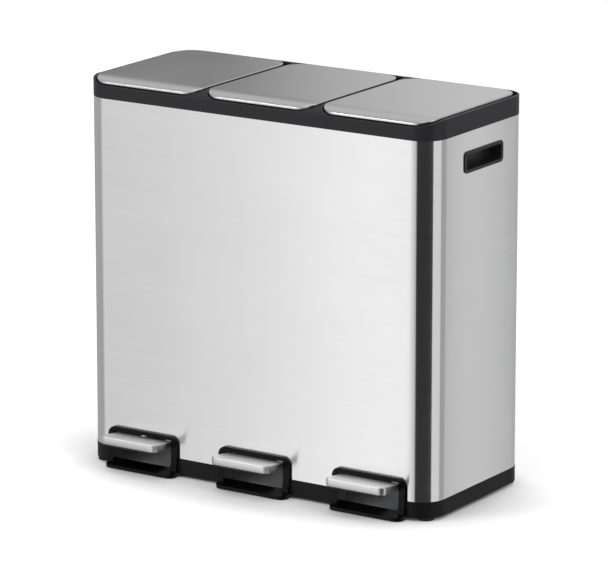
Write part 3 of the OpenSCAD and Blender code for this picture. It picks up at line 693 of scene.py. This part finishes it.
def settled(piece):
    """Turns a piece's modifiers into plain mesh, and returns that mesh."""
    ready = piece.evaluated_get(bpy.context.evaluated_depsgraph_get())
    mesh = bpy.data.meshes.new_from_object(ready)
    piece.modifiers.clear()
    return mesh


def bucket_rings(low, high, draft):
    """Outlines up the outside of a bucket, over its rim and down the inside."""
    turn = [math.radians(a) for a in (0, 18, 36, 54, 72, 90)]
    top, base = high.z, low.z

    def lean(z):
        return RIM + draft * (top - z) / (top - base)

    outside = [(lean(base) + 40, base), (lean(base) + 15, base)]
    outside += [(lean(base) + FILLET * (1 - math.sin(a)), base + FILLET * (1 - math.cos(a)))
                for a in turn]
    outside += [(lean(z), z) for z in (base + 60, base + 180, base + 300, base + 400, top - 4.2)]
    outside += [(RIM - 0.5, top - 3.5), (0.9, top - 3.5), (0.25, top - 3.2), (0, top - 2.5),
                (0, top - 1.2), (0.35, top - 0.35), (1.2, top)]
    hollow = FILLET - WALL
    inside = [(RIM - 1.0 + WALL, top), (RIM - 0.3 + WALL, top - 0.3), (RIM + WALL, top - 1.2)]
    inside += [(lean(z) + WALL, z) for z in (top - 5, base + 400, base + 300, base + 180,
                                             base + 60)]
    inside += [(lean(base) + WALL + hollow * (1 - math.sin(a)),
                base + WALL + hollow * (1 - math.cos(a))) for a in reversed(turn)]
    inside += [(lean(base) + 15, base + WALL), (lean(base) + 40, base + WALL)]
    return [[(x, y, z) for x, y in plan_outline(
        low, high, (BUCKET_CORNER + RIM - 4,) * 2, inset, 6, 10)] for inset, z in outside + inside]


def punched(mesh, low, high):
    """Cuts the two hand holes."""
    shape = plan_outline((-GRIP_WIDTH / 2, -GRIP_HEIGHT / 2), (GRIP_WIDTH / 2, GRIP_HEIGHT / 2),
                         (10, 10), 0, 2, 8)
    middle_y, z = (low.y + high.y) / 2, high.z - GRIP_DROP
    cutter = bpy.data.objects.new("Punch", stacked("Punch", [
        [(x, middle_y + u, z + v) for u, v in shape] for x in (low.x - 5, high.x + 5)]))
    blank = bpy.data.objects.new("Blank", mesh)
    for made in (cutter, blank):
        bpy.context.scene.collection.objects.link(made)
    cut = blank.modifiers.new("Hand holes", "BOOLEAN")
    cut.operation, cut.solver, cut.object = "DIFFERENCE", "EXACT", cutter
    result = settled(blank)
    for made in (cutter, blank):
        bpy.data.objects.remove(made)
    return result


for side in SIDES:
    low, high = box_mm("bucket_" + side)
    mesh = punched(stacked("bucket_" + side, bucket_rings(low, high, 6.0)), low, high)
    shade_by_angle(mesh, 40)
    piece = new_piece("bucket_tub_" + side, mesh, "bucket_plastic", "cabinet", "bucket_" + side)
    print(piece.name, "has", len(mesh.polygons), "faces")

# %% [markdown]
# ## Parts of the mechanism
#
# Liners, pads, levers and brackets are folded or moulded, so their edges are rounded a
# little. Rods, pins, axles and tubes are turned: the CAD model is already smooth there, so
# those nodes stay as they are and only get their finish.

# %% Mechanism
for side in SIDES:
    softened("lid_liner_" + side, 0.3)
    softened("pedal_pad_" + side, 0.4)
    softened("pedal_lever_" + side, 0.35)
    softened("pedal_bracket_" + side, 0.3)
    softened("rod_guides_" + side, 0.4)

TURNED = ("hinge_pin", "pedal_axle", "push_rod", "rod_tips", "damper_tube", "damper_plunger")
for side in SIDES:
    for kind in TURNED:
        node = f"{kind}_{side}"
        frame["nodes"][node].data.materials.clear()
        frame["nodes"][node].data.materials.append(FINISH[slot_for(node)])

# %% [markdown]
# ## Fasteners and feet
#
# Screws, rivets, bumpers and feet repeat, and Geometry Nodes are made for that. One tree
# takes a cloud of points and one model of the fastener, puts a copy on every point, turns
# each to face the way it is driven, and spins it by a random angle, since no two screws stop
# at the same turn. The seed is fixed, so every run gives the same bin.

# %% Fastener tree
def fastener_tree():
    tree = bpy.data.node_groups.new("Set fasteners", "GeometryNodeTree")
    tree.interface.new_socket("Geometry", in_out="OUTPUT", socket_type="NodeSocketGeometry")
    for name, kind in (("Points", "Geometry"), ("Fastener", "Object"), ("Facing", "Vector"),
                       ("Size", "Float"), ("Spin", "Float"), ("Seed", "Int"),
                       ("Finish", "Material")):
        tree.interface.new_socket(name, in_out="INPUT", socket_type="NodeSocket" + kind)
    given = put(tree, "NodeGroupInput").outputs
    model = put(tree, "GeometryNodeObjectInfo", {"Object": given["Fastener"]})
    facing = put(tree, "FunctionNodeAlignRotationToVector", {"Vector": given["Facing"]}, axis="Z")
    spin = put(tree, "FunctionNodeRandomValue", {2: 0.0, 3: given["Spin"], 8: given["Seed"]},
               data_type="FLOAT")
    turn = put(tree, "FunctionNodeAxisAngleToRotation", {"Axis": (0, 0, 1),
                                                         "Angle": spin.outputs[1]})
    rotation = put(tree, "FunctionNodeRotateRotation", {0: facing.outputs[0], 1: turn.outputs[0]},
                   rotation_space="LOCAL")
    copies = put(tree, "GeometryNodeInstanceOnPoints", {
        "Points": given["Points"], "Instance": model.outputs["Geometry"],
        "Rotation": rotation.outputs[0], "Scale": given["Size"]})
    real = put(tree, "GeometryNodeRealizeInstances", {"Geometry": copies.outputs[0]})
    finish = put(tree, "GeometryNodeSetMaterial", {"Geometry": real.outputs[0],
                                                   "Material": given["Finish"]})
    put(tree, "NodeGroupOutput", {0: finish.outputs[0]})
    return tree


def grown(name, tree, carrier_mesh, **inputs):
    """Runs a Geometry Nodes tree on a mesh and returns plain mesh."""
    carrier = bpy.data.objects.new(name, carrier_mesh)
    bpy.context.scene.collection.objects.link(carrier)
    made = carrier.modifiers.new("Grown", "NODES")
    made.node_group = tree
    for item in tree.interface.items_tree:
        if item.in_out == "INPUT" and item.name in inputs:
            made[item.identifier] = inputs[item.name]
    mesh = settled(carrier)
    bpy.data.objects.remove(carrier)
    mesh.name = name
    return mesh


SET_FASTENERS = fastener_tree()


def lathed(name, profile, steps=24):
    """Turns a profile of (radius, height) in mm round Z; its ends lie on the axis."""
    rings = [[(r * math.cos(math.tau * i / steps), r * math.sin(math.tau * i / steps), z)
              for i in range(steps)] for r, z in profile]
    mesh = stacked(name, rings)
    shade_by_angle(mesh, 40)
    return mesh


def copies_of(name, model_mesh, points, slot, facing, spin=0.0, seed=7):
    """Plain mesh of a fastener set on every point, in mm."""
    model = bpy.data.objects.new("Model", model_mesh)
    bpy.context.scene.collection.objects.link(model)
    cloud = bpy.data.meshes.new("Points")
    cloud.from_pydata([Vector(p) * MM for p in points], [], [])
    mesh = grown(name, SET_FASTENERS, cloud, Fastener=model, Facing=facing, Size=1.0,
                 Spin=spin, Seed=seed, Finish=FINISH[slot])
    bpy.data.objects.remove(model)
    return mesh


def set_out(name, model_mesh, points, slot, body, node, facing=(0, 0, 1), spin=0.0):
    """One piece made of a fastener on every point, in mm."""
    mesh = copies_of(name, model_mesh, points, slot, facing, spin)
    shade_by_angle(mesh, 40)
    piece = new_piece(name, mesh, slot, body, node)
    print(f"{name}: {len(points)} copies, {len(mesh.polygons)} faces")
    return piece


# %% [markdown]
# The surround screws are pan heads with a cross recess. The recess is real geometry: the
# cross is cut from the lathed head by a boolean. Blind rivets have a low dome with the
# broken stem sunk in its middle, and the feet are ribbed so that they grip a floor.

# %% Fasteners
def cross_cut(mesh, reach, width, depth, top):
    """Cuts a cross recess into the top of a lathed head."""
    bars = []
    for across, along in ((width, reach), (reach, width)):
        corners = [(-across, -along), (across, -along), (across, along), (-across, along)]
        bars.append(stacked("Bar", [[(x * s, y * s, z) for x, y in corners] for s, z in
                                    ((0.55, top - depth), (1.0, top + 1))]))
    head = bpy.data.objects.new("Head", mesh)
    tools = [bpy.data.objects.new("Bar", bar) for bar in bars]
    for made in (head, *tools):
        bpy.context.scene.collection.objects.link(made)
    for tool in tools:
        cut = head.modifiers.new("Recess", "BOOLEAN")
        cut.operation, cut.solver, cut.object = "DIFFERENCE", "EXACT", tool
    result = settled(head)
    for made in (head, *tools):
        bpy.data.objects.remove(made)
    return result


BODY_X = [round((box_mm("lid_skin_" + s)[0].x + box_mm("lid_skin_" + s)[1].x) / 2, 3)
          for s in SIDES]
screw_low, screw_high = box_mm("surround_screws")
screw_head = cross_cut(lathed("Screw", [
    (0, -5), (1.5, -5), (1.5, 0), (2.7, 0), (3.0, 0.25), (3.0, 0.8), (2.6, 1.4), (1.6, 1.75),
    (0, 1.8)]), 1.7, 0.35, 1.1, 1.8)
SCREW_RADIUS, SCREW_HEAD = 3.0, 1.8
SCREW_OFFSET = screw_high.x - SCREW_RADIUS - BODY_X[2]
set_out("screws", screw_head,
        [(x + s * SCREW_OFFSET, screw_high.y - SCREW_HEAD, (screw_low.z + screw_high.z) / 2)
         for x in BODY_X for s in (-1, 1)],
        "zinc_steel", "cabinet", "surround_screws", facing=(0, 1, 0), spin=math.tau)

bumper = lathed("Bumper", [(0, 0), (1.3, 0), (1.8, 0.35), (1.9, 0.8), (1.9, 1.8), (0, 1.8)], 16)
for x, side in zip(BODY_X, SIDES):
    low, high = box_mm("lid_bumpers_" + side)
    y = (low.y + high.y) / 2
    set_out("bumpers_" + side, bumper, [(low.x + 1.9, y, low.z), (high.x - 1.9, y, low.z)],
            "rubber", "lid_" + side, "lid_bumpers_" + side)
    low, high = box_mm("pedal_rivets_" + side)
    rivet = lathed("Rivet", [(0, high.z - low.z), (2, high.z - low.z), (2, 1.5), (4, 1.5),
                             (3.8, 0.9), (3.0, 0.35), (1.6, 0.05), (0, 0)])
    y = (low.y + high.y) / 2
    set_out("tread_rivets_" + side, rivet, [(low.x + 4, y, low.z), (high.x - 4, y, low.z)],
            "zinc_steel", "pedal_" + side, "pedal_rivets_" + side)

foot_low, foot_high = box_mm("rubber_feet")
foot = lathed("Foot", [(0, 0.8), (3, 0.8), (3.4, 0), (5, 0), (5.4, 0.7), (6.6, 0.7), (7, 0),
                       (8.6, 0), (9, 0.7), (10, 0.7), (10.4, 0), (11.4, 0.1), (12, 0.8),
                       (12, 4.2), (11.3, 5), (4, 5), (4, 11.5), (3.5, 12), (0, 12)], 48)
set_out("feet", foot, [(x, y, 0) for x in (foot_low.x + 12, foot_high.x - 12)
                       for y in (foot_low.y + 12, foot_high.y - 12)],
        "rubber", "cabinet", "rubber_feet", spin=0.0)


# %% [markdown]
# Blind rivets hold the rod guides to the back of the sleeve, and the pedal brackets under
# the deck. They belong to one CAD node, so the two sets are made apart and then joined.

# %% Blind rivets
def joined(name, *meshes):
    work = bmesh.new()
    for mesh in meshes:
        work.from_mesh(mesh)
    result = bpy.data.meshes.new(name)
    work.to_mesh(result)
    work.free()
    shade_by_angle(result, 40)
    return result


def blind_rivet(head, grip):
    """A domed head of some height over a shank, with a pit where the stem broke off."""
    return lathed("Blind rivet", [
        (0, -grip), (1.85, -grip), (1.9, 0), (3.8, 0), (3.7, 0.35 * head), (3.0, 0.75 * head),
        (2.0, head), (1.15, head), (1.05, 0.45 * head), (0, 0.4 * head)], 28)


rivet_low, rivet_high = box_mm("blind_rivets")
guide_low, guide_high = box_mm("rod_guides_left")
GUIDE_LEVELS = (guide_low.z + 6, guide_high.z - 6)
axle_low, axle_high = box_mm("pedal_axle_left")
PIVOT_Y = (axle_low.y + axle_high.y) / 2
BACK_HEAD, DECK_HEAD, RIVET_OFFSET, RIVET_SEED = 0.5, 1.5, 10, 3
back_set = copies_of("Rivets", blind_rivet(BACK_HEAD, 3.8), [
    (x + s * RIVET_OFFSET, rivet_high.y - BACK_HEAD, z)
    for x in BODY_X for z in GUIDE_LEVELS for s in (-1, 1)],
    "zinc_steel", (0, 1, 0), seed=RIVET_SEED)
deck_set = copies_of("Rivets", blind_rivet(DECK_HEAD, 5.0), [
    (x, PIVOT_Y + s * RIVET_OFFSET, rivet_low.z + DECK_HEAD)
    for x in BODY_X for s in (-1, 1)],
    "zinc_steel", (0, 0, -1), seed=RIVET_SEED)
rivets = new_piece("rivets", joined("rivets", back_set, deck_set), "zinc_steel", "cabinet",
                   "blind_rivets")
print("rivets:", len(rivets.data.polygons), "faces")

# %% [markdown]
# ## Ribs
#
# A thin moulded panel is kept flat by ribs. A second tree lays a row of them: it needs the
# first rib's middle, the step to the next, how many there are, and their size. Lid liners
# get a grid of ribs underneath, which shows as soon as a lid is open.

# %% Rib tree
def rib_tree():
    tree = bpy.data.node_groups.new("Row of ribs", "GeometryNodeTree")
    tree.interface.new_socket("Geometry", in_out="OUTPUT", socket_type="NodeSocketGeometry")
    for name, kind in (("Geometry", "Geometry"), ("First", "Vector"), ("Step", "Vector"),
                       ("Count", "Int"), ("Rib size", "Vector"), ("Finish", "Material")):
        tree.interface.new_socket(name, in_out="INPUT", socket_type="NodeSocket" + kind)
    given = put(tree, "NodeGroupInput").outputs
    row = put(tree, "GeometryNodeMeshLine", {"Count": given["Count"],
                                             "Start Location": given["First"],
                                             "Offset": given["Step"]})
    rib = put(tree, "GeometryNodeMeshCube", {"Size": given["Rib size"]})
    copies = put(tree, "GeometryNodeInstanceOnPoints", {"Points": row.outputs[0],
                                                        "Instance": rib.outputs[0]})
    real = put(tree, "GeometryNodeRealizeInstances", {"Geometry": copies.outputs[0]})
    finish = put(tree, "GeometryNodeSetMaterial", {"Geometry": real.outputs[0],
                                                   "Material": given["Finish"]})
    put(tree, "NodeGroupOutput", {0: finish.outputs[0]})
    return tree


LAY_RIBS = rib_tree()


def rib_row(first, step, count, size):
    """Plain mesh of a row of liner ribs, in mm."""
    return grown("Ribs", LAY_RIBS, bpy.data.meshes.new("None"), First=Vector(first) * MM,
                 Step=Vector(step) * MM, Count=count, **{"Rib size": Vector(size) * MM},
                 Finish=FINISH["liner_plastic"])


# %% Liner ribs
CEILING, RIB_DEPTH, RIB_WALL, RIB_ROOT = 3.4, 4.8, 1.2, 0.3
for x, side in zip(BODY_X, SIDES):
    low, high = box_mm("lid_skin_" + side)
    z = high.z - CEILING - RIB_DEPTH / 2 + RIB_ROOT
    cross = rib_row((x, -50, z), (0, 32, 0), 5, (169.6, RIB_WALL, RIB_DEPTH))
    along = rib_row((x - 44, 9, z), (44, 0, 0), 3, (RIB_WALL, 150, RIB_DEPTH))
    ribs = new_piece("liner_ribs_" + side, joined("liner_ribs_" + side, cross, along),
                     "liner_plastic", "lid_" + side)
    print(ribs.name, "has", len(ribs.data.polygons), "faces")

# %% [markdown]
# ## The welded seam
#
# A sleeve is one sheet, so it has one seam. It is put at the back, clear of the rivets: a
# shallow bead, ground nearly flush, that wanders by a few hundredths of a millimetre.

# %% Seam
sleeve_low, sleeve_high = box_mm("outer_sleeve")
SEAM_X, SEAM_HALF, SEAM_PROUD, SEAM_STEPS = 97.0, 1.3, 0.16, 60
seam_rings = []
for i in range(SEAM_STEPS + 1):
    z = sleeve_low.z + 0.4 + (sleeve_high.z - sleeve_low.z - 0.8) * i / SEAM_STEPS
    sway = 0.12 * math.sin(i * 1.7) + 0.08 * math.sin(i * 0.63)
    proud = SEAM_PROUD * (0.85 + 0.15 * math.sin(i * 2.3))
    seam_rings.append([(SEAM_X + sway + SEAM_HALF * math.cos(math.pi * k / 8),
                        sleeve_high.y - 0.1 + (proud + 0.1) * math.sin(math.pi * k / 8), z)
                       for k in range(9)])
seam = stacked("weld_seam", seam_rings)
shade_by_angle(seam, 60)
new_piece("weld_seam", seam, "sleeve_steel", "cabinet")
